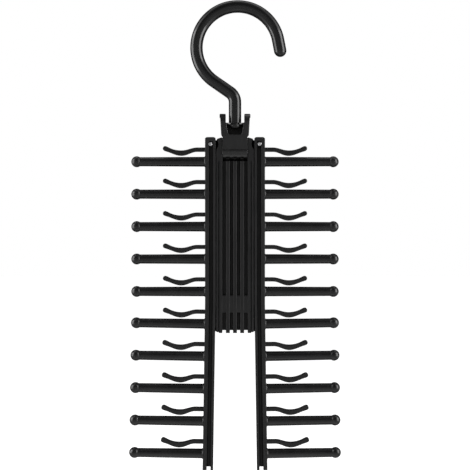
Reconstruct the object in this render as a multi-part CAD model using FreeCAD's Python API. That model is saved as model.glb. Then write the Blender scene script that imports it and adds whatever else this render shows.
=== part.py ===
import FreeCAD, Part
import math
import os

Vector = FreeCAD.Vector
os.makedirs("parts", exist_ok=True)

# Millimetres. X runs to the right, Y to the back and Z up.
# The origin is where a closet rod touches the underside of the hook's crown, on the swivel axis.

# Fits
running_clearance = 0.05
seat_clearance = 0.01
face_clearance = 0.1
stop_clearance = 0.03
swing_clearance = 0.25
tongue_clearance = 0.25
fold_clearance = 0.15
rail_clearance = 0.75
ear_clearance = 0.1

# Hook
hook_bar_diameter = 8.75
hook_ring_radius = 28.9
hook_ring_offset = 1.85
hook_end_angle = 11.0
hook_end_straight = 7.8
hook_corner_gap = 4.95
hook_bend_radius = 8.4
swivel_neck_diameter = 6.8
retainer_spigot_diameter = 3.6
retainer_diameter = 8.6
retainer_height = 3.0
retainer_wall = 1.2
retainer_round = 2.6

# Yoke
yoke_floor_drop = 77.5
yoke_floor_thickness = 1.0
yoke_front = 4.9
yoke_back = 5.6
prong_height = 6.7
prong_half_width = 10.4
prong_head_height = 2.4
prong_head_lip = 0.4
prong_inner_half_width = 6.5
prong_top_chamfer = 0.9
prong_front_radius = 6.0
yoke_foot_half_width = 9.75
yoke_foot_drop = 6.9
yoke_edge_radius = 0.6
yoke_front_radius = 0.35
yoke_corner_radius = 0.6
pocket_half_width = 6.0
pocket_foot_half_width = 4.8
pocket_height = 7.2
pocket_back_wall = 1.1
pocket_top_radius = 0.4
pocket_foot_radius = 1.8
throat_half_width = 3.0
throat_mouth_half_width = 6.2
tongue_length = 10.3
tongue_back = 3.4
tongue_barrel_radius = 5.15
tongue_corner_radius = 0.5
shoulder_height = 1.9
tongue_notch_radius = 1.55
fold_pin_diameter = 2.4
fold_pin_recess = 0.5

# Spine
spine_half_width = 12.9
spine_foot_flare = 0.1
spine_back_reach = 2.9
spine_front = 4.5
spine_length = 126.75
spine_web_thickness = 2.4
spine_web_depth = 2.2
web_foot_setback = 1.9
back_plate_rise = 10.2
side_bar_width = 4.0
side_bar_groove_inset = 2.4
side_bar_groove_width = 0.7
side_bar_groove_depth = 0.8
side_bar_step = 0.6
side_bar_edge_radius = 0.25
side_bar_foot_radius = 0.3
ear_slope_drop = 1.5
ear_corner_radius = 0.5
rib_count = 3
rib_pitch = 5.0
rib_thickness = 2.75
rib_top_gap = 1.55
rib_edge_radius = 0.45
badge_lap = 0.65
badge_height = 11.9
badge_foot_height = 14.2
badge_thickness = 1.6
badge_setback = 0.15
stop_height = 5.6
stop_foot_height = 4.4
stop_depth = 5.0
lug_radius = 3.25
lug_thickness = 2.5

# Racks: a rail with its tie bars and clips, hung on a pin, upright at first and then flaring out
pivot_inset = 3.55
pivot_rise = 5.3
pivot_pin_diameter = 2.4
pivot_head_diameter = 2.8
pivot_head_height = 1.1
upright_bars = 5
rail_flare = 0.85
rail_flare_gap = 8.3
rail_width = 7.3
rail_outer_flange = 2.75
rail_inner_flange = 1.75
rail_depth = 8.0
rail_channel_depth = 2.8
rail_floor_thickness = 2.0
rail_top_rise = 4.8
rail_top_radius = 5.4
rail_foot_margin = 11.08
rail_floor_setback = 2.2
rail_edge_radius = 0.3
head_window_rise = 2.0
head_boss_drop = 1.9
head_boss_setback = 1.3

# Tie bars
bar_count = 10
bar_pitch = 22.73
first_bar_drop = 12.25
bar_root_diameter = 6.9
bar_end_diameter = 6.4
bar_collar_diameter = 8.1
bar_collar_length = 1.2
ball_diameter = 7.7
bar_length = 47.9
spigot_diameter = 4.0

# Clips
clip_height = 8.46
clip_thickness = 2.9
clip_depth = 4.4
clip_root_reach = 0.4
clip_dip_start = 5.6
clip_dip_reach = 16.6
clip_dip_height = 6.03
clip_dip_thickness = 3.65
clip_swell_reach = 8.0
clip_rise_reach = 18.0
clip_rise = 4.6
clip_tip_reach = 27.9
clip_tip_thickness = 3.35
clip_knob_reach = 4.0
clip_edge_radius = 0.5
clip_samples = 9

# Places that follow from the sizes above
hook_bar_radius = hook_bar_diameter / 2
ring_inner_radius = hook_ring_radius - hook_bar_radius
ring_centre_z = -math.sqrt(ring_inner_radius**2 - hook_ring_offset**2)
yoke_floor_z = -yoke_floor_drop
yoke_foot_z = yoke_floor_z - yoke_floor_thickness - yoke_foot_drop
tongue_top_z = yoke_foot_z - shoulder_height
fold_axis_z = tongue_top_z - tongue_length
ear_height = tongue_length - ear_clearance
tongue_foot_z = fold_axis_z - tongue_barrel_radius
rib_top_z = tongue_foot_z - rib_top_gap
spine_foot_z = fold_axis_z - spine_length
side_bar_inner = spine_half_width - side_bar_width
side_bar_groove_x = side_bar_inner + side_bar_groove_inset
tongue_half_width = side_bar_inner - tongue_clearance
rail_inner_x = spine_half_width + rail_clearance
rail_outer_x = rail_inner_x + rail_width
rail_front_y = -spine_front
rail_back_y = rail_front_y + rail_depth
rail_mid_y = rail_front_y + rail_depth / 2
spine_back = rail_back_y + swing_clearance + lug_thickness
pivot_x = rail_inner_x + pivot_inset
pivot_z = fold_axis_z + pivot_rise
first_bar_z = pivot_z - first_bar_drop
rail_flare_z = first_bar_z - (upright_bars - 1) * bar_pitch - rail_flare_gap
rail_foot_z = first_bar_z - (bar_count - 1) * bar_pitch - rail_foot_margin
ball_x = rail_outer_x + bar_length


def front_view(x, z):
    return Vector(x, 0, z)


def side_view(y, z):
    return Vector(0, y, z)


def plan_view(x, y):
    return Vector(x, y, 0)


def rounded_face(corners, view):
    """A flat face from (u, v, radius) corners, each rounded by its own radius."""
    count = len(corners)
    rounds = []
    for index in range(count):
        here = Vector(corners[index][0], corners[index][1], 0)
        before = Vector(corners[index - 1][0], corners[index - 1][1], 0)
        after = Vector(corners[(index + 1) % count][0], corners[(index + 1) % count][1], 0)
        to_before = (before - here).normalize()
        to_after = (after - here).normalize()
        radius = corners[index][2]
        if radius == 0:
            rounds.append((here, here, here))
            continue
        half_angle = to_before.getAngle(to_after) / 2
        setback = radius / math.tan(half_angle)
        inward = (to_before + to_after).normalize() * (radius / math.sin(half_angle) - radius)
        rounds.append((here + to_before * setback, here + inward, here + to_after * setback))
    edges = []
    for index in range(count):
        start, middle, end = [view(point.x, point.y) for point in rounds[index]]
        following = rounds[(index + 1) % count][0]
        following = view(following.x, following.y)
        if corners[index][2] > 0:
            edges.append(Part.Arc(start, middle, end).toShape())
        if end.distanceToPoint(following) > 1e-6:
            edges.append(Part.LineSegment(end, following).toShape())
    return Part.Face(Part.Wire(edges))


def prism(corners, view, start, end):
    """Extrudes a rounded face along the view's own normal, from start to end."""
    normals = {front_view: Vector(0, 1, 0), side_view: Vector(1, 0, 0), plan_view: Vector(0, 0, 1)}
    face = rounded_face(corners, view)
    face.translate(normals[view] * start)
    return face.extrude(normals[view] * (end - start))


def block(x0, x1, y0, y1, z0, z1):
    return Part.makeBox(x1 - x0, y1 - y0, z1 - z0, Vector(x0, y0, z0))


def rod(radius, start, end):
    return Part.makeCylinder(radius, start.distanceToPoint(end), start, end - start)


def mirrored(shape):
    return shape.mirror(Vector(0, 0, 0), Vector(1, 0, 0))


def joined(first, *others):
    return first.fuse(list(others)).removeSplitter()


def save(name, shape):
    shape.exportStep("parts/" + name + ".step")


# Hook: a round bar swept from its tip over the ring, down the slanted neck and into the shank.
def on_ring(degrees):
    angle = math.radians(degrees)
    return Vector(hook_ring_offset + hook_ring_radius * math.cos(angle), 0,
                  ring_centre_z + hook_ring_radius * math.sin(angle))


def make_hook():
    end_angle = math.radians(hook_end_angle)
    ring_start = on_ring(hook_end_angle)
    tip = ring_start + Vector(math.sin(end_angle), 0, -math.cos(end_angle)) * hook_end_straight
    corner = Vector(0, 0, ring_centre_z - hook_ring_radius - hook_corner_gap)
    to_centre = Vector(hook_ring_offset, 0, ring_centre_z) - corner
    slant = math.asin(hook_ring_radius / to_centre.Length) - math.atan2(to_centre.x, to_centre.z)
    neck = Vector(-math.sin(slant), 0, math.cos(slant))
    ring_end_degrees = 180 + math.degrees(slant)
    ring_end = on_ring(ring_end_degrees)
    bend_setback = hook_bend_radius * math.tan(slant / 2)
    bend_start = corner + neck * bend_setback
    bend_end = corner - Vector(0, 0, bend_setback)
    inward = (neck - Vector(0, 0, 1)).normalize()
    half_angle = neck.getAngle(Vector(0, 0, -1)) / 2
    bend_middle = corner + inward * (hook_bend_radius / math.sin(half_angle) - hook_bend_radius)
    shank_end = Vector(0, 0, yoke_floor_z + face_clearance)
    ring_middle = on_ring((hook_end_angle + ring_end_degrees) / 2)
    path = Part.Wire([
        Part.LineSegment(tip, ring_start).toShape(),
        Part.Arc(ring_start, ring_middle, ring_end).toShape(),
        Part.LineSegment(ring_end, bend_start).toShape(),
        Part.Arc(bend_start, bend_middle, bend_end).toShape(),
        Part.LineSegment(bend_end, shank_end).toShape(),
    ])
    section = Part.Wire(Part.Circle(tip, ring_start - tip, hook_bar_radius).toShape())
    bar = path.makePipeShell([section], True, False)
    neck_end = Vector(0, 0, yoke_floor_z - yoke_floor_thickness - face_clearance)
    spigot_end = neck_end - Vector(0, 0, retainer_height - retainer_wall)
    swivel_neck = rod(swivel_neck_diameter / 2, shank_end, neck_end)
    spigot = rod(retainer_spigot_diameter / 2, shank_end, spigot_end)
    return joined(bar, Part.makeSphere(hook_bar_radius, tip), swivel_neck, spigot)


def make_retainer():
    top = yoke_floor_z - yoke_floor_thickness - face_clearance
    foot = top - retainer_height
    cap = rod(retainer_diameter / 2, Vector(0, 0, top), Vector(0, 0, foot))
    rim = [edge for edge in cap.Edges if edge.BoundBox.ZMax < foot + retainer_wall]
    cap = cap.makeFillet(retainer_round, rim[:1])
    socket = rod(retainer_spigot_diameter / 2 + seat_clearance, Vector(0, 0, top + 1),
                 Vector(0, 0, foot + retainer_wall - seat_clearance))
    return cap.cut(socket)


# Yoke: the front outline cut to the side outline, with its round foot, pocket and swivel hole.
def make_yoke():
    top = yoke_floor_z + prong_height
    head_foot = top - prong_head_height
    head_half_width = prong_half_width + prong_head_lip
    outline = [
        (head_half_width, top, prong_top_chamfer),
        (prong_inner_half_width, top, prong_top_chamfer),
        (prong_inner_half_width, yoke_floor_z, yoke_corner_radius),
        (-prong_inner_half_width, yoke_floor_z, yoke_corner_radius),
        (-prong_inner_half_width, top, prong_top_chamfer),
        (-head_half_width, top, prong_top_chamfer),
        (-head_half_width, head_foot, 0),
        (-prong_half_width, head_foot - prong_head_lip, 0),
        (-yoke_foot_half_width, yoke_foot_z, 0),
        (-tongue_half_width, tongue_top_z, 0),
        (-tongue_half_width, tongue_foot_z - 1, 0),
        (tongue_half_width, tongue_foot_z - 1, 0),
        (tongue_half_width, tongue_top_z, 0),
        (yoke_foot_half_width, yoke_foot_z, 0),
        (prong_half_width, head_foot - prong_head_lip, 0),
        (head_half_width, head_foot, 0),
    ]
    side = [
        (yoke_back, top, yoke_edge_radius),
        (-yoke_front, top, yoke_edge_radius),
        (-yoke_front, fold_axis_z, 0),
        (tongue_back, fold_axis_z, 0),
        (tongue_back, tongue_top_z, tongue_corner_radius),
        (yoke_back, yoke_foot_z, yoke_edge_radius),
    ]
    reach = head_half_width + 1
    sides = prism(side, side_view, -reach, reach)
    barrel = rod(tongue_barrel_radius, Vector(-reach, 0, fold_axis_z), Vector(reach, 0, fold_axis_z))
    barrel = barrel.common(block(-reach, reach, -tongue_barrel_radius, tongue_back,
                                 tongue_foot_z, fold_axis_z + tongue_barrel_radius))
    body = prism(outline, front_view, -tongue_barrel_radius, yoke_back).common(joined(sides, barrel))
    ceiling = yoke_floor_z - yoke_floor_thickness
    pocket = prism([
        (pocket_half_width, ceiling, pocket_top_radius),
        (-pocket_half_width, ceiling, pocket_top_radius),
        (-pocket_foot_half_width, ceiling - pocket_height, pocket_foot_radius),
        (pocket_foot_half_width, ceiling - pocket_height, pocket_foot_radius),
    ], front_view, -yoke_front - 1, yoke_back - pocket_back_wall)
    hole_radius = swivel_neck_diameter / 2 + running_clearance
    hole = rod(hole_radius, Vector(0, 0, yoke_floor_z + 1), Vector(0, 0, ceiling - 1))
    throat = prism([
        (throat_half_width, 0, 0),
        (throat_half_width, -hole_radius, 0),
        (throat_mouth_half_width, -yoke_front - 1, 0),
        (-throat_mouth_half_width, -yoke_front - 1, 0),
        (-throat_half_width, -hole_radius, 0),
        (-throat_half_width, 0, 0),
    ], plan_view, ceiling - 1, yoke_floor_z + 1)
    bore = rod(fold_pin_diameter / 2 + running_clearance,
               Vector(-reach, 0, fold_axis_z), Vector(reach, 0, fold_axis_z))
    cuts = [pocket, hole, throat, bore]
    for index in range(rib_count):
        x = (index - (rib_count - 1) / 2) * rib_pitch
        cuts.append(rod(tongue_notch_radius, Vector(x, -tongue_barrel_radius, tongue_foot_z),
                        Vector(x, 0, tongue_foot_z)))
    yoke = body.cut(cuts)
    front_edges = [edge for edge in yoke.Edges
                   if edge.BoundBox.YMax < -yoke_front + 0.01 and edge.BoundBox.ZMin > yoke_foot_z - 0.01]
    yoke = yoke.makeFillet(yoke_front_radius, front_edges)
    crest_y = prong_front_radius - yoke_front
    crest_z = top - prong_front_radius
    crest = rod(prong_front_radius, Vector(-reach - 1, crest_y, crest_z), Vector(reach + 1, crest_y, crest_z))
    return yoke.cut(block(-reach, reach, -yoke_front - 1, crest_y, crest_z, top + 1).cut(crest))


def make_fold_pin():
    reach = spine_half_width - fold_pin_recess
    return rod(fold_pin_diameter / 2, Vector(-reach, 0, fold_axis_z), Vector(reach, 0, fold_axis_z))


# Spine: side bars that rise into the hinge ears, ribs through a middle web, rear lugs for the rack pins.
def make_side_bar():
    ear_top = fold_axis_z + ear_height
    bar = prism([
        (side_bar_inner, ear_top, ear_corner_radius),
        (side_bar_inner, spine_foot_z, side_bar_foot_radius),
        (side_bar_groove_x, spine_foot_z, 0),
        (side_bar_groove_x, spine_foot_z + side_bar_step, 0),
        (spine_half_width + spine_foot_flare, spine_foot_z + side_bar_step, side_bar_foot_radius),
        (spine_half_width, ear_top - ear_slope_drop, ear_corner_radius),
    ], front_view, -spine_front, spine_back)
    crown = rod(ear_height, Vector(0, 0, fold_axis_z), Vector(spine_half_width + 1, 0, fold_axis_z))
    below_axis = block(0, spine_half_width + 1, -spine_front - 1, spine_back + 1,
                       spine_foot_z - 1, fold_axis_z)
    bar = bar.common(joined(crown, below_axis))
    front_edges = [edge for edge in bar.Edges
                   if edge.BoundBox.YMax < -spine_front + 0.01 and edge.BoundBox.ZLength > spine_length / 2]
    bar = bar.makeFillet(side_bar_edge_radius, front_edges)
    half_groove = side_bar_groove_width / 2
    groove = block(side_bar_groove_x - half_groove, side_bar_groove_x + half_groove,
                   -spine_front - 1, -spine_front + side_bar_groove_depth, spine_foot_z - 1, rib_top_z)
    sweep = rod(rail_top_radius + swing_clearance, Vector(pivot_x, -spine_front - 1, pivot_z),
                Vector(pivot_x, rail_back_y + swing_clearance, pivot_z))
    bore = rod(fold_pin_diameter / 2 + seat_clearance, Vector(0, 0, fold_axis_z),
               Vector(spine_half_width + 1, 0, fold_axis_z))
    return bar.cut([groove, sweep, bore])


def make_back_plate():
    """The lug behind a rack's pin, and the flange below it that closes the gap along the rail."""
    lug = prism([
        (side_bar_inner, pivot_z + lug_radius, 0),
        (side_bar_inner, pivot_z - lug_radius, 0),
        (pivot_x + lug_radius, pivot_z - lug_radius, lug_radius),
        (pivot_x + lug_radius, pivot_z + lug_radius, lug_radius),
    ], front_view, rail_back_y + swing_clearance, spine_back)
    flange = block(side_bar_inner, spine_half_width + spine_back_reach,
                   rail_back_y + swing_clearance, spine_back,
                   spine_foot_z + side_bar_step, pivot_z)
    hole = rod(pivot_pin_diameter / 2 + seat_clearance, Vector(pivot_x, 0, pivot_z),
               Vector(pivot_x, spine_back + 1, pivot_z))
    return joined(lug, flange).cut(hole)


def make_stop():
    foot = spine_foot_z + stop_foot_height
    reach = block(spine_half_width - 1, pivot_x, rail_mid_y - stop_depth / 2, rail_mid_y + stop_depth / 2,
                  foot, foot + stop_height)
    rail_side = block(rail_inner_x - stop_clearance, rail_outer_x + 1, rail_front_y - 1, rail_back_y + 1,
                      rail_foot_z, pivot_z)
    return reach.cut(flared(rail_side))


def make_spine():
    side_bar = make_side_bar()
    back_plate = make_back_plate()
    stop = make_stop()
    pieces = [mirrored(side_bar), back_plate, mirrored(back_plate), stop, mirrored(stop)]
    web_front = -spine_front + spine_web_depth
    pieces.append(block(-side_bar_inner - 1, side_bar_inner + 1, web_front, web_front + spine_web_thickness,
                        spine_foot_z + web_foot_setback, rib_top_z))
    pieces.append(block(-side_bar_inner - 1, side_bar_inner + 1,
                        tongue_barrel_radius + fold_clearance, spine_back,
                        rib_top_z - spine_web_thickness, fold_axis_z + back_plate_rise))
    for index in range(rib_count):
        x = (index - (rib_count - 1) / 2) * rib_pitch
        pieces.append(prism([
            (x - rib_thickness / 2, -spine_front, rib_edge_radius),
            (x - rib_thickness / 2, spine_back, 0),
            (x + rib_thickness / 2, spine_back, 0),
            (x + rib_thickness / 2, -spine_front, rib_edge_radius),
        ], plan_view, spine_foot_z, rib_top_z))
    badge_foot = spine_foot_z + badge_foot_height
    badge_front = -spine_front + badge_setback
    badge_end = side_bar_inner + badge_lap
    pieces.append(block(-badge_end, badge_end, badge_front, badge_front + badge_thickness,
                        badge_foot, badge_foot + badge_height))
    return joined(side_bar, *pieces)


def make_pivot_pin():
    head_back = rail_front_y + head_boss_setback - face_clearance
    shank = rod(pivot_pin_diameter / 2, Vector(pivot_x, head_back, pivot_z),
                Vector(pivot_x, spine_back, pivot_z))
    head = rod(pivot_head_diameter / 2, Vector(pivot_x, head_back - pivot_head_height, pivot_z),
               Vector(pivot_x, head_back, pivot_z))
    rim = [edge for edge in head.Edges if edge.BoundBox.YMax < head_back - pivot_head_height / 2]
    return joined(head.makeFillet(pivot_head_height / 2, rim[:1]), shank)


# Racks, built upright on the right-hand side, then turned out about the flare where they lie below it.
def flared(shape, share=1.0):
    turned = shape.copy()
    bend = Vector((rail_inner_x + rail_outer_x) / 2, 0, rail_flare_z)
    turned.rotate(bend, Vector(0, -1, 0), rail_flare * share)
    return turned


def on_rail(shape, index):
    return shape if index < upright_bars else flared(shape)


def bar_z(index):
    return first_bar_z - index * bar_pitch


def clip_axis(index):
    return Vector(rail_outer_x + clip_root_reach, 0, bar_z(index) + clip_height)


def make_rail():
    groove_inner = rail_inner_x + rail_inner_flange
    groove_outer = rail_outer_x - rail_outer_flange
    floor_front = rail_front_y + rail_channel_depth
    floor_back = floor_front + rail_floor_thickness
    rail_top = pivot_z + rail_top_rise
    window_top = pivot_z + head_window_rise
    boss_foot = pivot_z - head_boss_drop
    boss_front = rail_front_y + head_boss_setback
    channel = prism([
        (rail_inner_x, rail_front_y, rail_edge_radius),
        (rail_inner_x, rail_back_y, rail_edge_radius),
        (rail_outer_x, rail_back_y, rail_edge_radius),
        (rail_outer_x, rail_front_y, rail_edge_radius),
    ], plan_view, rail_foot_z, rail_top)
    above_pin = block(rail_inner_x - 1, rail_outer_x + 1, rail_front_y - 1, rail_back_y + 1,
                      pivot_z, rail_top + 1)
    dome = rod(rail_top_radius, Vector(pivot_x, rail_front_y - 2, pivot_z),
               Vector(pivot_x, rail_back_y + 2, pivot_z))
    cuts = [
        block(groove_inner, groove_outer, rail_front_y - 1, floor_front, rail_foot_z - 1, boss_foot),
        block(groove_inner, groove_outer, floor_back, rail_back_y + 1, rail_foot_z - 1, pivot_z - lug_radius),
        block(groove_inner, groove_outer, rail_front_y - 1, boss_front, boss_foot - 1, window_top),
        block(groove_inner, groove_outer, rail_front_y - 1, rail_back_y + 1,
              rail_foot_z - 1, rail_foot_z + rail_floor_setback),
        above_pin.cut(dome),
        rod(pivot_head_diameter / 2 + face_clearance, Vector(pivot_x, rail_front_y - 1, pivot_z),
            Vector(pivot_x, boss_front, pivot_z)),
        rod(pivot_pin_diameter / 2 + running_clearance, Vector(pivot_x, rail_front_y - 1, pivot_z),
            Vector(pivot_x, rail_back_y + 1, pivot_z)),
    ]
    half_slot = clip_depth / 2 + face_clearance
    for index in range(bar_count):
        cuts.append(rod(spigot_diameter / 2 + seat_clearance,
                        Vector(groove_outer - seat_clearance, rail_mid_y, bar_z(index)),
                        Vector(rail_outer_x + 1, rail_mid_y, bar_z(index))))
        axis = clip_axis(index)
        cuts.append(rod(clip_thickness / 2 + running_clearance, axis + Vector(0, rail_mid_y - half_slot, 0),
                        axis + Vector(0, rail_mid_y + half_slot, 0)))
    straight = channel.cut(cuts)
    below = flared(block(rail_inner_x - rail_width, rail_outer_x + rail_width,
                         rail_front_y - 1, rail_back_y + 1, rail_foot_z - rail_width, rail_flare_z), 0.5)
    lower = flared(straight).common(below)
    return joined(straight.cut(below), lower)


def make_bar(index):
    z = bar_z(index)
    inner = rail_outer_x - rail_outer_flange
    root = bar_root_diameter / 2
    end = bar_end_diameter / 2
    collar = bar_collar_diameter / 2
    ball = ball_diameter / 2
    neck_x = ball_x - math.sqrt(ball**2 - end**2)
    collar_end = rail_outer_x + bar_collar_length

    def at(x, r):
        return Vector(x, rail_mid_y, z + r)

    bend = at(rail_outer_x + bar_collar_length * 0.3, root + (collar - root) * 0.3)
    profile = Part.Wire([
        Part.LineSegment(at(inner, 0), at(inner, spigot_diameter / 2)).toShape(),
        Part.LineSegment(at(inner, spigot_diameter / 2), at(rail_outer_x, spigot_diameter / 2)).toShape(),
        Part.LineSegment(at(rail_outer_x, spigot_diameter / 2), at(rail_outer_x, collar)).toShape(),
        Part.Arc(at(rail_outer_x, collar), bend, at(collar_end, root)).toShape(),
        Part.LineSegment(at(collar_end, root), at(neck_x, end)).toShape(),
        Part.Arc(at(neck_x, end), at(ball_x, ball), at(ball_x + ball, 0)).toShape(),
        Part.LineSegment(at(ball_x + ball, 0), at(inner, 0)).toShape(),
    ])
    return Part.Face(profile).revolve(at(0, 0), Vector(1, 0, 0), 360)


def clip_line(reach):
    """Height of a clip's middle line over its bar and half its thickness, at a distance from the rail."""
    if reach <= clip_dip_start:
        height = clip_height
    elif reach <= clip_dip_reach:
        share = (reach - clip_dip_start) / (clip_dip_reach - clip_dip_start)
        height = clip_dip_height + (clip_height - clip_dip_height) * (1 + math.cos(math.pi * share)) / 2
    else:
        share = (reach - clip_dip_reach) / clip_rise_reach
        height = clip_dip_height + clip_rise * (1 - math.cos(math.pi * share)) / 2
    swell = min(1.0, abs(reach - clip_dip_reach) / clip_swell_reach)
    knob = min(1.0, max(0.0, clip_tip_reach - reach) / clip_knob_reach)
    thickness = clip_thickness + (clip_dip_thickness - clip_thickness) * (1 + math.cos(math.pi * swell)) / 2
    thickness += (clip_tip_thickness - clip_thickness) * (1 + math.cos(math.pi * knob)) / 2
    return height, thickness / 2


def make_clip(index):
    foot = bar_z(index)
    axis = clip_axis(index)
    half_depth = clip_depth / 2
    upper = []
    lower = []
    for sample in range(clip_samples):
        reach = clip_dip_start + (clip_tip_reach - clip_dip_start) * sample / (clip_samples - 1)
        height, half = clip_line(reach)
        ahead, _ = clip_line(reach + 0.01)
        slope = math.atan2(ahead - height, 0.01)
        x = rail_outer_x + reach
        across = Vector(-math.sin(slope), 0, math.cos(slope))
        upper.append(Vector(x, 0, foot + height) + across * half)
        lower.append(Vector(x, 0, foot + height) - across * half)
    end_height, end_half = clip_line(clip_tip_reach)
    along = Vector(across.z, 0, -across.x)
    tip = Vector(rail_outer_x + clip_tip_reach, 0, foot + end_height) + along * end_half
    level = Vector(1, 0, 0)
    top_curve = Part.BSplineCurve()
    top_curve.interpolate(Points=upper, InitialTangent=level, FinalTangent=along)
    under_curve = Part.BSplineCurve()
    under_curve.interpolate(Points=lower, InitialTangent=level, FinalTangent=along)
    root_top = axis + Vector(0, 0, clip_thickness / 2)
    root_under = axis - Vector(0, 0, clip_thickness / 2)
    root_back = axis - Vector(clip_thickness / 2, 0, 0)
    outline = Part.Wire([
        Part.LineSegment(root_top, upper[0]).toShape(),
        top_curve.toShape(),
        Part.Arc(upper[-1], tip, lower[-1]).toShape(),
        under_curve.toShape(),
        Part.LineSegment(lower[0], root_under).toShape(),
        Part.Arc(root_under, root_back, root_top).toShape(),
    ])
    face = Part.Face(outline)
    face.translate(Vector(0, rail_mid_y - half_depth, 0))
    clip = face.extrude(Vector(0, clip_depth, 0))
    rims = [edge for edge in clip.Edges
            if edge.BoundBox.YLength < 1e-3 and edge.BoundBox.XMax > root_top.x + 1e-3]
    return clip.makeFillet(clip_edge_radius, rims)


save("hook", make_hook())
save("hook_retainer", make_retainer())
save("yoke", make_yoke())
save("fold_pin", make_fold_pin())
save("spine", make_spine())
rack_pieces = {"rail": make_rail(), "pivot_pin": make_pivot_pin()}
for number in range(bar_count):
    rack_pieces["bar_%02d" % (number + 1)] = on_rail(make_bar(number), number)
    rack_pieces["clip_%02d" % (number + 1)] = on_rail(make_clip(number), number)
for name, shape in rack_pieces.items():
    save("right_" + name, shape)
    save("left_" + name, mirrored(shape))
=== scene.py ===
import bpy
import math
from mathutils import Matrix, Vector

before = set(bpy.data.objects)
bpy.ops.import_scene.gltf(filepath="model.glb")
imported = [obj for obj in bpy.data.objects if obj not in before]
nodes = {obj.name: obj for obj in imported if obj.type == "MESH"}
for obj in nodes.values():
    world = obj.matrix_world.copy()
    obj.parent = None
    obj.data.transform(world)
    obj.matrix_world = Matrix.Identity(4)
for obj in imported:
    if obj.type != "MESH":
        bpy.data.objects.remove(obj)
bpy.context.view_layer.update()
scene = bpy.context.scene
scene.view_settings.view_transform = "Standard"
mm = 0.001
rising, falling = (0.0, 1.0), (1.0, 0.0)
number, direction = "NodeSocketFloat", "NodeSocketVector"
print("frame loaded,", len(nodes), "nodes")


# small helpers for node trees; "at" is only a node's place in the editor
def addNode(tree, kind, at, **settings):
    made = tree.nodes.new(kind)
    made.location = at
    for key, value in settings.items():
        setattr(made, key, value)
    return made


def wire(tree, value, socket):  # links an output, or sets a plain value
    if hasattr(value, "is_linked"):
        tree.links.new(value, socket)
    else:
        socket.default_value = value


def calc(tree, operation, first, second, at, clamp=False):
    made = addNode(tree, "ShaderNodeMath", at, operation=operation, use_clamp=clamp)
    wire(tree, first, made.inputs[0])
    if second is not None:
        wire(tree, second, made.inputs[1])
    return made.outputs[0]


def remap(tree, value, span, onto, at, smooth=False):
    made = addNode(tree, "ShaderNodeMapRange", at)
    made.interpolation_type = "SMOOTHSTEP" if smooth else "LINEAR"
    wire(tree, value, made.inputs["Value"])
    for label, end in zip(("From Min", "From Max", "To Min", "To Max"), (*span, *onto)):
        wire(tree, end, made.inputs[label])
    return made.outputs["Result"]


def nearLine(tree, value, middle, span, at):  # 1 at the middle, 0 beyond the span, to both sides
    x, y = at
    away = calc(tree, "SUBTRACT", value, middle, at)
    away = calc(tree, "ABSOLUTE", away, None, (x + 200, y))
    return remap(tree, away, span, falling, (x + 400, y), True)


def noise(tree, coords, scale, detail, at, rough=0.5):
    made = addNode(tree, "ShaderNodeTexNoise", at)
    for label, value in (("Vector", coords), ("Scale", scale), ("Detail", detail), ("Roughness", rough)):
        wire(tree, value, made.inputs[label])
    return made.outputs["Fac"]


def coordinates(tree, kind, at):
    return addNode(tree, "ShaderNodeTexCoord", at).outputs[kind]


def surfaceNormal(tree, at):
    return addNode(tree, "ShaderNodeNewGeometry", at).outputs["Normal"]


def separate(tree, vector, at):
    made = addNode(tree, "ShaderNodeSeparateXYZ", at)
    wire(tree, vector, made.inputs[0])
    return made.outputs


def openness(tree, reach, samples, at):  # how much of the space within reach is open
    made = addNode(tree, "ShaderNodeAmbientOcclusion", at, samples=samples)
    wire(tree, reach, made.inputs["Distance"])
    return made.outputs["AO"]


def newGroup(name, ins, outs):
    tree = bpy.data.node_groups.new(name, "ShaderNodeTree")
    for label, value in ins.items():
        socket = tree.interface.new_socket(label, in_out="INPUT", socket_type=number)
        socket.default_value = value
    for label, kind in outs.items():
        tree.interface.new_socket(label, in_out="OUTPUT", socket_type=kind)
    given = addNode(tree, "NodeGroupInput", (-1200, 0))
    result = addNode(tree, "NodeGroupOutput", (900, 0))
    return tree, given.outputs, result.inputs


# moulded skin: a fine grain, a slow cloudiness of the gloss, and faint flow streaks along the part
skinForm = {"grainDetail": 3.0, "grainRough": 0.6, "cloudDetail": 4.0, "streakStretch": (1.0, 1.0, 0.06),
            "streakScale": 420.0, "streakDetail": 2.0, "softSpan": (0.35, 0.95)}


def makeSkinGroup(form):
    tree, given, result = newGroup(
        "mouldedSkin",
        {"Grain Size": 1400.0, "Cloud Size": 60.0, "Rough Low": 0.3, "Rough High": 0.4, "Streak": 0.3},
        {"Roughness": number, "Height": number, "Cloud": number})
    place = coordinates(tree, "Object", (-1200, 300))
    grain = noise(tree, place, given["Grain Size"], form["grainDetail"], (-900, 300), form["grainRough"])
    cloud = noise(tree, place, given["Cloud Size"], form["cloudDetail"], (-900, 60))
    stretch = addNode(tree, "ShaderNodeMapping", (-1000, -200))
    wire(tree, place, stretch.inputs["Vector"])
    wire(tree, form["streakStretch"], stretch.inputs["Scale"])
    drawn = stretch.outputs["Vector"]
    streaks = noise(tree, drawn, form["streakScale"], form["streakDetail"], (-800, -200))
    mixed = calc(tree, "MULTIPLY", streaks, given["Streak"], (-560, -200))
    mixed = calc(tree, "ADD", mixed, cloud, (-380, -80))
    soft = remap(tree, mixed, form["softSpan"], rising, (-180, -80), True)
    rough = remap(tree, soft, rising, (given["Rough Low"], given["Rough High"]), (60, 60))
    wire(tree, rough, result["Roughness"])
    wire(tree, grain, result["Height"])
    wire(tree, soft, result["Cloud"])
    return tree


# edge rounding and painted gleam: rounds the light over sharp moulded edges, and masks a painted highlight
# along them in broken patches
edgeForm = {"samples": 4, "breakScale": 260.0, "breakDetail": 3.0,
            "breakSpan": (0.35, 0.65), "breakOnto": (0.25, 1.0)}


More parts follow.
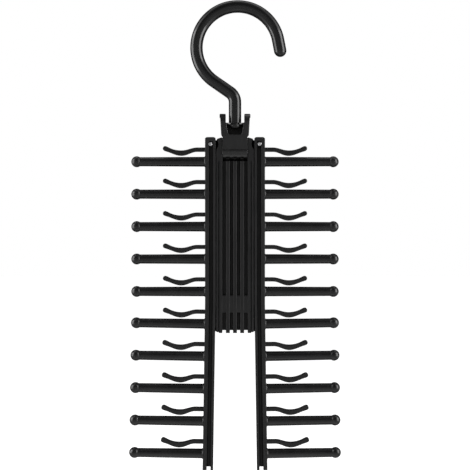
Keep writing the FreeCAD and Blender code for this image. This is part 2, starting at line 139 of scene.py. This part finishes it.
def makeEdgeGroup(form):
    tree, given, result = newGroup(
        "edgeRoundingAndPaintedGleam", {"Radius": 0.3 * mm, "Gain": 6.0}, {"Mask": number, "Normal": direction})
    rounded = addNode(tree, "ShaderNodeBevel", (-900, 100), samples=form["samples"])
    wire(tree, given["Radius"], rounded.inputs["Radius"])
    facing = addNode(tree, "ShaderNodeVectorMath", (-650, 0), operation="DOT_PRODUCT")
    wire(tree, rounded.outputs["Normal"], facing.inputs[0])
    wire(tree, surfaceNormal(tree, (-900, -150)), facing.inputs[1])
    bend = calc(tree, "SUBTRACT", 1.0, facing.outputs["Value"], (-450, 0))
    bend = calc(tree, "MULTIPLY", bend, given["Gain"], (-260, 0), True)
    place = coordinates(tree, "Object", (-900, -420))
    broken = noise(tree, place, form["breakScale"], form["breakDetail"], (-650, -420))
    broken = remap(tree, broken, form["breakSpan"], form["breakOnto"], (-400, -420))
    wire(tree, calc(tree, "MULTIPLY", bend, broken, (-60, -120)), result["Mask"])
    wire(tree, rounded.outputs["Normal"], result["Normal"])
    return tree


# dust: settles on what faces up, in loose specks
dustForm = {"upSpan": (0.35, 0.95), "speckDetail": 5.0, "speckRough": 0.7, "speckSpan": (0.52, 0.72),
            "patchScale": 45.0, "patchDetail": 2.0, "patchSpan": (0.35, 0.70), "patchOnto": (0.15, 1.0)}


def makeDustGroup(form):
    tree, given, result = newGroup("settledDust", {"Amount": 0.3, "Speck Size": 900.0}, {"Mask": number})
    up = separate(tree, surfaceNormal(tree, (-900, 150)), (-700, 150))["Z"]
    upper = remap(tree, up, form["upSpan"], rising, (-480, 150), True)
    place = coordinates(tree, "Object", (-900, -150))
    specks = noise(tree, place, given["Speck Size"], form["speckDetail"], (-650, -150), form["speckRough"])
    specks = remap(tree, specks, form["speckSpan"], rising, (-420, -150))
    patches = noise(tree, place, form["patchScale"], form["patchDetail"], (-650, -380))
    patches = remap(tree, patches, form["patchSpan"], form["patchOnto"], (-420, -380))
    mask = calc(tree, "MULTIPLY", specks, patches, (-200, -200))
    mask = calc(tree, "MULTIPLY", mask, upper, (0, 0))
    wire(tree, calc(tree, "MULTIPLY", mask, given["Amount"], (200, 0)), result["Mask"])
    return tree


# parting line: the faint seam where the two halves of a mould met, on a plane across the part's depth
def makeSeamGroup():
    tree, given, result = newGroup("partingLine", {"Depth At": 0.0, "Width": 0.22 * mm}, {"Mask": number})
    depth = separate(tree, coordinates(tree, "Object", (-1000, 0)), (-800, 0))["Y"]
    line = nearLine(tree, depth, given["Depth At"], (0.0, given["Width"]), (-600, 0))
    wire(tree, line, result["Mask"])
    return tree


# deep shade: marks narrow gaps, inner corners and hollows, where little light comes back out
shadeForm = {"samples": 8, "lineSpan": (0.70, 0.96)}


def makeShadeGroup(form):
    tree, given, result = newGroup(
        "deepShade",
        {"Reach": 10.0 * mm, "Open": 0.35, "Closed": 0.12, "Line Reach": 1.2 * mm, "Line Gain": 0.8},
        {"Mask": number})
    hollow = openness(tree, given["Reach"], form["samples"], (-900, 200))
    deep = remap(tree, hollow, (given["Closed"], given["Open"]), falling, (-600, 200), True)
    narrow = openness(tree, given["Line Reach"], form["samples"], (-900, -200))
    line = remap(tree, narrow, form["lineSpan"], falling, (-600, -200))
    line = calc(tree, "MULTIPLY", line, given["Line Gain"], (-350, -200))
    wire(tree, calc(tree, "MAXIMUM", deep, line, (-100, 0)), result["Mask"])
    return tree


# hairlines: short fine scratches in two directions
scratchForm = {"tilt": (0.3, 0.2), "turns": (0.5, -0.9), "squeezes": (0.05, 0.08), "thinSpan": (0.0, 0.012),
               "someScale": 150.0, "someDetail": 1.0, "someSpan": (0.50, 0.62)}


def makeScratchGroup(form):
    tree, given, result = newGroup("hairlines", {"Scale": 90.0, "Density": 0.5}, {"Mask": number})
    place = coordinates(tree, "Object", (-1200, 200))
    sets = []
    for index, (turn, squeeze) in enumerate(zip(form["turns"], form["squeezes"])):
        row = 250 - 350 * index
        turned = addNode(tree, "ShaderNodeMapping", (-1000, row))
        wire(tree, place, turned.inputs["Vector"])
        wire(tree, (form["tilt"][0], turn, form["tilt"][1]), turned.inputs["Rotation"])
        wire(tree, (1.0, 1.0, squeeze), turned.inputs["Scale"])
        cells = addNode(tree, "ShaderNodeTexVoronoi", (-780, row), feature="DISTANCE_TO_EDGE")
        wire(tree, turned.outputs["Vector"], cells.inputs["Vector"])
        wire(tree, given["Scale"], cells.inputs["Scale"])
        thin = remap(tree, cells.outputs["Distance"], form["thinSpan"], falling, (-560, row))
        some = noise(tree, turned.outputs["Vector"], form["someScale"], form["someDetail"], (-780, row - 190))
        some = remap(tree, some, form["someSpan"], rising, (-560, row - 190))
        sets.append(calc(tree, "MULTIPLY", thin, some, (-340, row - 100)))
    both = calc(tree, "MAXIMUM", sets[0], sets[1], (-120, 0))
    wire(tree, calc(tree, "MULTIPLY", both, given["Density"], (80, 0)), result["Mask"])
    return tree


skinGroup = makeSkinGroup(skinForm)
edgeGroup = makeEdgeGroup(edgeForm)
dustGroup = makeDustGroup(dustForm)
seamGroup = makeSeamGroup()
shadeGroup = makeShadeGroup(shadeForm)
scratchGroup = makeScratchGroup(scratchForm)
print("shader groups made")


def placeGroup(tree, group, at, values):
    made = addNode(tree, "ShaderNodeGroup", at, node_tree=group)
    for label, value in values.items():
        made.inputs[label].default_value = value
    return made.outputs


def opaque(colour):
    return (*colour, 1.0)


def tint(tree, factor, first, second, at):
    made = addNode(tree, "ShaderNodeMix", at, data_type="RGBA")
    wire(tree, factor, made.inputs[0])
    wire(tree, first, made.inputs[6])
    wire(tree, second, made.inputs[7])
    return made.outputs[2]


def newMaterial(name):
    material = bpy.data.materials.new(name)
    material.use_nodes = True
    return material, material.node_tree, material.node_tree.nodes["Principled BSDF"]


def placeSkin(tree, look):
    return placeGroup(tree, skinGroup, (-900, 300), {
        "Grain Size": look["grainSize"], "Cloud Size": look["cloudSize"], "Rough Low": look["roughLow"],
        "Rough High": look["roughHigh"], "Streak": look["streak"]})


def placeScratches(tree, look):
    return placeGroup(tree, scratchGroup, (-900, -600), {
        "Scale": look["scratchScale"], "Density": look["scratches"]})["Mask"]


def addBump(tree, height, shader):
    bump = addNode(tree, "ShaderNodeBump", (-80, 0))
    bump.inputs["Distance"].default_value = mm
    wire(tree, height, bump.inputs["Height"])
    wire(tree, bump.outputs["Normal"], shader.inputs["Normal"])
    return bump


def plasticMaterial(look):
    material, tree, shader = newMaterial(look["name"])
    skin = placeSkin(tree, look)
    edge = placeGroup(tree, edgeGroup, (-900, 0), {"Radius": look["edgeRadius"], "Gain": look["edgeGain"]})
    dust = placeGroup(tree, dustGroup, (-900, -200), {"Amount": look["dust"]})["Mask"]
    seam = placeGroup(tree, seamGroup, (-900, -400), {"Depth At": look["seamAt"]})["Mask"]
    shade = placeGroup(tree, shadeGroup, (-900, 560), {
        "Reach": look["shadeReach"], "Line Gain": look["lineGain"]})["Mask"]
    scratch = placeScratches(tree, look)
    # colour
    colour = tint(tree, skin["Cloud"], opaque(look["dark"]), opaque(look["pale"]), (-600, 500))
    # painted highlight: a paler colour along sharp edges
    colour = tint(tree, edge["Mask"], colour, opaque(look["paintedEdgeGleam"]), (-420, 480))
    colour = tint(tree, dust, colour, opaque(look["dustColour"]), (-240, 460))
    colour = tint(tree, shade, colour, opaque(look["shadeColour"]), (-60, 440))
    wire(tree, colour, shader.inputs["Base Color"])
    # gloss
    worn = calc(tree, "MULTIPLY", scratch, look["scratchRough"], (-640, -560))
    rough = calc(tree, "ADD", skin["Roughness"], worn, (-460, -400))
    hidden = calc(tree, "MULTIPLY", shade, look["shadeRough"], (-640, -420))
    rough = calc(tree, "ADD", rough, hidden, (-370, -500))
    dull = calc(tree, "MULTIPLY", dust, look["dustRough"], (-640, -260))
    wire(tree, calc(tree, "ADD", rough, dull, (-280, -300), True), shader.inputs["Roughness"])
    shader.inputs["Specular IOR Level"].default_value = look["gloss"]
    shader.inputs["IOR"].default_value = look["ior"]
    # relief
    height = calc(tree, "MULTIPLY", skin["Height"], look["grainDepth"], (-640, 160))
    line = calc(tree, "MULTIPLY", seam, look["seamDepth"], (-640, 0))
    height = calc(tree, "ADD", height, line, (-460, 100))
    cut = calc(tree, "MULTIPLY", scratch, look["scratchDepth"], (-640, -760))
    height = calc(tree, "SUBTRACT", height, cut, (-280, 60))
    bump = addBump(tree, height, shader)
    wire(tree, edge["Normal"], bump.inputs["Normal"])
    return material


def steelMaterial(look):
    material, tree, shader = newMaterial(look["name"])
    skin = placeSkin(tree, look)
    scratch = placeScratches(tree, look)
    colour = tint(tree, skin["Cloud"], opaque(look["dark"]), opaque(look["pale"]), (-500, 400))
    wire(tree, colour, shader.inputs["Base Color"])
    worn = calc(tree, "MULTIPLY", scratch, look["scratchRough"], (-600, -200))
    rough = calc(tree, "ADD", skin["Roughness"], worn, (-400, -100), True)
    wire(tree, rough, shader.inputs["Roughness"])
    addBump(tree, calc(tree, "MULTIPLY", skin["Height"], look["grainDepth"], (-400, 100)), shader)
    shader.inputs["Metallic"].default_value = 1.0
    return material


# what all the black pieces share; each finish below changes what differs
blackPlastic = {
    "dark": (0.0065, 0.0065, 0.0068), "pale": (0.0105, 0.0105, 0.0108),
    "paintedEdgeGleam": (0.030, 0.030, 0.031), "dustColour": (0.22, 0.215, 0.205),
    "grainSize": 1500.0, "grainDepth": 0.006, "cloudSize": 60.0,
    "roughLow": 0.30, "roughHigh": 0.40, "streak": 0.3, "gloss": 0.5, "ior": 1.5,
    "edgeRadius": 0.30 * mm, "edgeGain": 5.0, "dust": 0.05, "dustRough": 0.5,
    "seamAt": 0.0, "seamDepth": 0.05,
    "scratchScale": 90.0, "scratches": 0.5, "scratchRough": 0.12, "scratchDepth": 0.004,
    "shadeReach": 10.0 * mm, "shadeColour": (0.0015, 0.0015, 0.0015), "shadeRough": 0.45, "lineGain": 0.8,
}
hookLook = {**blackPlastic, "name": "hookGlossBlack", "roughLow": 0.15, "roughHigh": 0.20,
            "grainDepth": 0.0006, "streak": 0.1, "lineGain": 0.1}
retainerLook = {**hookLook, "name": "retainerSatinBlack", "roughLow": 0.36, "roughHigh": 0.46,
                "grainDepth": 0.004}
yokeLook = {**blackPlastic, "name": "yokeSatinBlack", "roughLow": 0.24, "roughHigh": 0.34,
            "seamDepth": 0.0, "ior": 1.62}
spineLook = {**blackPlastic, "name": "spineSatinBlack", "dark": (0.0112, 0.0112, 0.0115),
             "pale": (0.0162, 0.0162, 0.0165), "roughHigh": 0.42, "streak": 0.5,
             "edgeRadius": 0.1 * mm, "seamDepth": 0.0, "gloss": 0.25}
railLook = {**blackPlastic, "name": "railSatinBlack", "dark": (0.0138, 0.0138, 0.0141),
            "pale": (0.0190, 0.0190, 0.0193), "roughLow": 0.28, "roughHigh": 0.38, "streak": 0.5,
            "edgeRadius": 0.1 * mm, "seamAt": -0.5 * mm, "gloss": 0.25}
barLook = {**blackPlastic, "name": "barSatinBlack", "roughLow": 0.22, "roughHigh": 0.30,
           "grainDepth": 0.002, "seamAt": -0.5 * mm, "cloudSize": 90.0}
clipLook = {**blackPlastic, "name": "clipSatinBlack", "roughLow": 0.22, "roughHigh": 0.32,
            "grainDepth": 0.004, "seamAt": -0.5 * mm, "cloudSize": 120.0}
pinLook = {"name": "pinTurnedSteel", "dark": (0.70, 0.70, 0.71), "pale": (0.90, 0.90, 0.91),
           "roughLow": 0.34, "roughHigh": 0.50, "grainSize": 2600.0, "grainDepth": 0.004, "cloudSize": 500.0,
           "streak": 0.2, "scratchScale": 700.0, "scratches": 0.6, "scratchRough": 0.15}

finishes = {
    "hook": plasticMaterial(hookLook), "retainer": plasticMaterial(retainerLook),
    "yoke": plasticMaterial(yokeLook), "spine": plasticMaterial(spineLook),
    "rail": plasticMaterial(railLook), "bar": plasticMaterial(barLook),
    "clip": plasticMaterial(clipLook), "pin": steelMaterial(pinLook),
}


def finishFor(name):
    for part in ("pin", "clip", "bar", "rail", "spine", "yoke", "retainer"):
        if part in name.split("_"):
            return finishes[part]
    return finishes["hook"]


for name, node in nodes.items():
    node.data.materials.clear()
    node.data.materials.append(finishFor(name))
print("finishes on", len(nodes), "nodes")


# rays that show the surround as it is: straight from the camera, or through something clear
def seenRays(tree, paths, at):
    return calc(tree, "MAXIMUM", paths["Is Camera Ray"], paths["Is Transmission Ray"], at)


# floor: pale, under the hanging piece; each pair runs from near its foot to far out
floorLook = {
    "z": -0.385, "size": 12.0, "colour": (0.80, 0.80, 0.80),
    "grainScale": 30.0, "grainDetail": 3.0, "grainSpan": (0.3, 0.7), "rough": (0.75, 0.85),
    "liftSpan": (0.12, 0.50), "lift": (0.42, 0.70),  # glow for the camera, which makes it white
    "poolSpan": (0.02, 0.30), "pool": (0.85, 0.40),  # glow that the gloss shows
    "backSpan": (-0.06, 0.16), "back": (1.0, 0.06),  # share of it that is left behind the piece
    "sideSpan": (0.15, 0.75), "side": (0.0, 0.9), "sideAtY": -0.08, "stripSpan": (0.2, 0.5),
}


def floorMaterial(look):
    material, tree, shader = newMaterial("paleFloor")
    place = coordinates(tree, "Object", (-1100, 200))
    grain = noise(tree, place, look["grainScale"], look["grainDetail"], (-700, 200))
    wire(tree, remap(tree, grain, look["grainSpan"], look["rough"], (-500, 200)), shader.inputs["Roughness"])
    shader.inputs["Base Color"].default_value = opaque(look["colour"])
    paths = addNode(tree, "ShaderNodeLightPath", (-900, -300)).outputs
    length = addNode(tree, "ShaderNodeVectorMath", (-900, 0), operation="LENGTH")
    wire(tree, place, length.inputs[0])
    away = length.outputs["Value"]
    across = separate(tree, place, (-900, -820))
    # what the camera sees
    lift = remap(tree, away, look["liftSpan"], look["lift"], (-680, 0), True)
    seen = seenRays(tree, paths, (-680, -300))
    glow = addNode(tree, "ShaderNodeEmission", (0, -200))
    wire(tree, calc(tree, "MULTIPLY", seen, lift, (-300, -200)), glow.inputs["Strength"])
    lit = addNode(tree, "ShaderNodeAddShader", (250, 0))
    wire(tree, shader.outputs[0], lit.inputs[0])
    wire(tree, glow.outputs[0], lit.inputs[1])
    # what the gloss shows: a painted pool of light in front, and painted strips of light on the floor under
    # the side boxes
    pool = remap(tree, away, look["poolSpan"], look["pool"], (-680, -560), True)
    behind = remap(tree, across["Y"], look["backSpan"], look["back"], (-680, -820), True)
    pool = calc(tree, "MULTIPLY", pool, behind, (-400, -640))
    beside = calc(tree, "ABSOLUTE", across["X"], None, (-680, -1080))
    beside = remap(tree, beside, look["sideSpan"], look["side"], (-460, -1080), True)
    strip = nearLine(tree, across["Y"], look["sideAtY"], look["stripSpan"], (-680, -1300))
    paintedSideStrips = calc(tree, "MULTIPLY", beside, strip, (-20, -1150))
    mirrored = addNode(tree, "ShaderNodeEmission", (250, -300))
    wire(tree, calc(tree, "ADD", pool, paintedSideStrips, (180, -640)), mirrored.inputs["Strength"])
    whole = addNode(tree, "ShaderNodeMixShader", (480, 0))
    wire(tree, paths["Is Glossy Ray"], whole.inputs[0])
    wire(tree, lit.outputs[0], whole.inputs[1])
    wire(tree, mirrored.outputs[0], whole.inputs[2])
    wire(tree, whole.outputs[0], tree.nodes["Material Output"].inputs["Surface"])
    return material


half = floorLook["size"] / 2
floorCorners = [(-half, -half, 0), (half, -half, 0), (half, half, 0), (-half, half, 0)]
floorMesh = bpy.data.meshes.new("studioFloor")
floorMesh.from_pydata(floorCorners, [], [(0, 1, 2, 3)])
floorMesh.materials.append(floorMaterial(floorLook))
floor = bpy.data.objects.new("studioFloor", floorMesh)
floor.location = (0, 0, floorLook["z"])
scene.collection.objects.link(floor)

# surround: white to the camera; the gloss shows a dim room with a bright arch from side to side
worldLook = {
    "ambient": 0.45, "frontSpan": (0.10, 0.50), "front": (0.24, 0.03), "backSpan": (0.20, 0.70), "back": 0.04,
    "archSpan": (0.45, 0.97), "arch": (2.3, 0.12), "riseSpan": (0.25, 0.50), "archAtY": -0.15,
    "bandSpan": (0.15, 0.45),
}


def makeWorld(look):
    world = bpy.data.worlds.new("whiteStudio")
    world.use_nodes = True
    tree = world.node_tree
    backdrop = tree.nodes["Background"]
    backdrop.inputs["Color"].default_value = opaque((1.0, 1.0, 1.0))
    paths = addNode(tree, "ShaderNodeLightPath", (-900, 0)).outputs
    toward = separate(tree, coordinates(tree, "Generated", (-1100, -300)), (-900, -300))
    front = remap(tree, toward["Z"], look["frontSpan"], look["front"], (-700, -300), True)
    sheen = remap(tree, toward["Y"], look["backSpan"], (front, look["back"]), (-500, -300), True)
    arch = remap(tree, toward["Z"], look["archSpan"], look["arch"], (-700, -560), True)
    rise = remap(tree, toward["Z"], look["riseSpan"], rising, (-700, -820), True)
    band = nearLine(tree, toward["Y"], look["archAtY"], look["bandSpan"], (-900, -1080))
    arch = calc(tree, "MULTIPLY", arch, calc(tree, "MULTIPLY", rise, band, (-300, -900)), (-100, -700))
    sheen = calc(tree, "ADD", sheen, arch, (100, -500))
    mirror = calc(tree, "MULTIPLY", paths["Is Glossy Ray"], sheen, (-300, -200))
    seen = seenRays(tree, paths, (-680, 100))
    direct = calc(tree, "MAXIMUM", seen, paths["Is Glossy Ray"], (-460, 0))
    rest = calc(tree, "SUBTRACT", 1.0, direct, (-260, 0))
    rest = calc(tree, "MULTIPLY", rest, look["ambient"], (-80, 0))
    total = calc(tree, "ADD", calc(tree, "ADD", seen, mirror, (-260, 200)), rest, (80, 100))
    wire(tree, total, backdrop.inputs["Strength"])
    return world


scene.world = makeWorld(worldLook)

# soft boxes: a tall one each side, and a weak one overhead, all turned to the middle of the piece
lampAim = Vector((0, 0, -0.14))
lamps = {
    "leftBox": {"at": (-0.80, -0.10, -0.12), "size": (0.60, 1.10), "power": 8.2},
    "rightBox": {"at": (0.80, -0.34, -0.12), "size": (0.54, 1.10), "power": 8.6},
    "highBox": {"at": (0.0, 0.20, 1.10), "size": (1.40, 0.50), "power": 3.2},
}
for name, lamp in lamps.items():
    data = bpy.data.lights.new(name, "AREA")
    data.shape = "RECTANGLE"
    data.size, data.size_y = lamp["size"]
    data.energy = lamp["power"]
    box = bpy.data.objects.new(name, data)
    box.location = lamp["at"]
    box.rotation_euler = (lampAim - Vector(lamp["at"])).to_track_quat("-Z", "Y").to_euler()
    scene.collection.objects.link(box)
print("stage and lamps set")

# camera: level, straight on to the front
shot = {"aimX": 0.0, "aimY": -2.0 * mm, "aimZ": -155.9 * mm,
        "distance": 0.90, "field": 329.0 * mm, "sensor": 36.0}
cameraData = bpy.data.cameras.new("shotCamera")
cameraData.sensor_width = shot["sensor"]
cameraData.lens = shot["sensor"] * shot["distance"] / shot["field"]
camera = bpy.data.objects.new("shotCamera", cameraData)
camera.location = (shot["aimX"], shot["aimY"] - shot["distance"], shot["aimZ"])
camera.rotation_euler = (math.pi / 2, 0, 0)
scene.collection.objects.link(camera)
scene.camera = camera
print("camera set")
